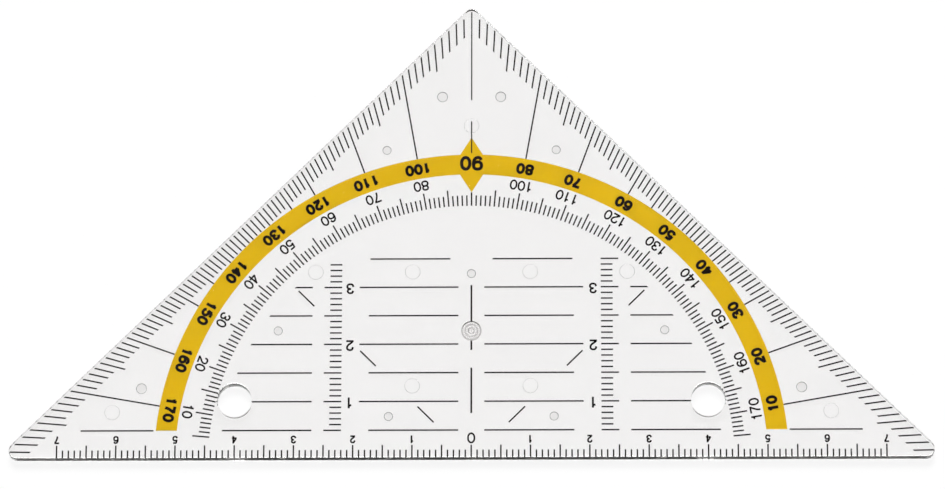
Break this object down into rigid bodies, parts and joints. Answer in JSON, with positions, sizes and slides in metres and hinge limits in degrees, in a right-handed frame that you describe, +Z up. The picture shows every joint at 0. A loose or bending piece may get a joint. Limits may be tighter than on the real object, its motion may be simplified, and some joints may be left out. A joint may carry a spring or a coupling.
{
  "type": "set square",
  "caption": "Clear right-angled set square with a printed centimetre edge, a half-round protractor band, parallel ruling lines and holes for a clip-on grip.",
  "frame": {"origin": "zero mark of the measuring edge, on the plate's printed underside", "axes": "+X along the measuring edge, to the right with the scale edge towards the viewer; +Y into the plate towards the right-angled corner; +Z up through the plate, away from the paper"},
  "size_m": [0.156, 0.0794, 0.0023],
  "materials": {
    "clear_polystyrene": "clear injection-moulded polystyrene, polished",
    "black_ink": "screen-printed ink film on the underside",
    "yellow_ink": "screen-printed ink film on the underside"
  },
  "bodies": {
    "root": {"plate": "clear_polystyrene", "measuring_edge_scale": "black_ink", "outer_degree_scale": "black_ink", "ten_degree_lines": "black_ink", "inner_degree_scale": "black_ink", "parallel_lines": "black_ink", "height_scale_left": "black_ink", "height_scale_right": "black_ink", "centre_line": "black_ink", "forty_five_degree_marks": "black_ink", "yellow_band": "yellow_ink"}
  },
  "joints": []
}
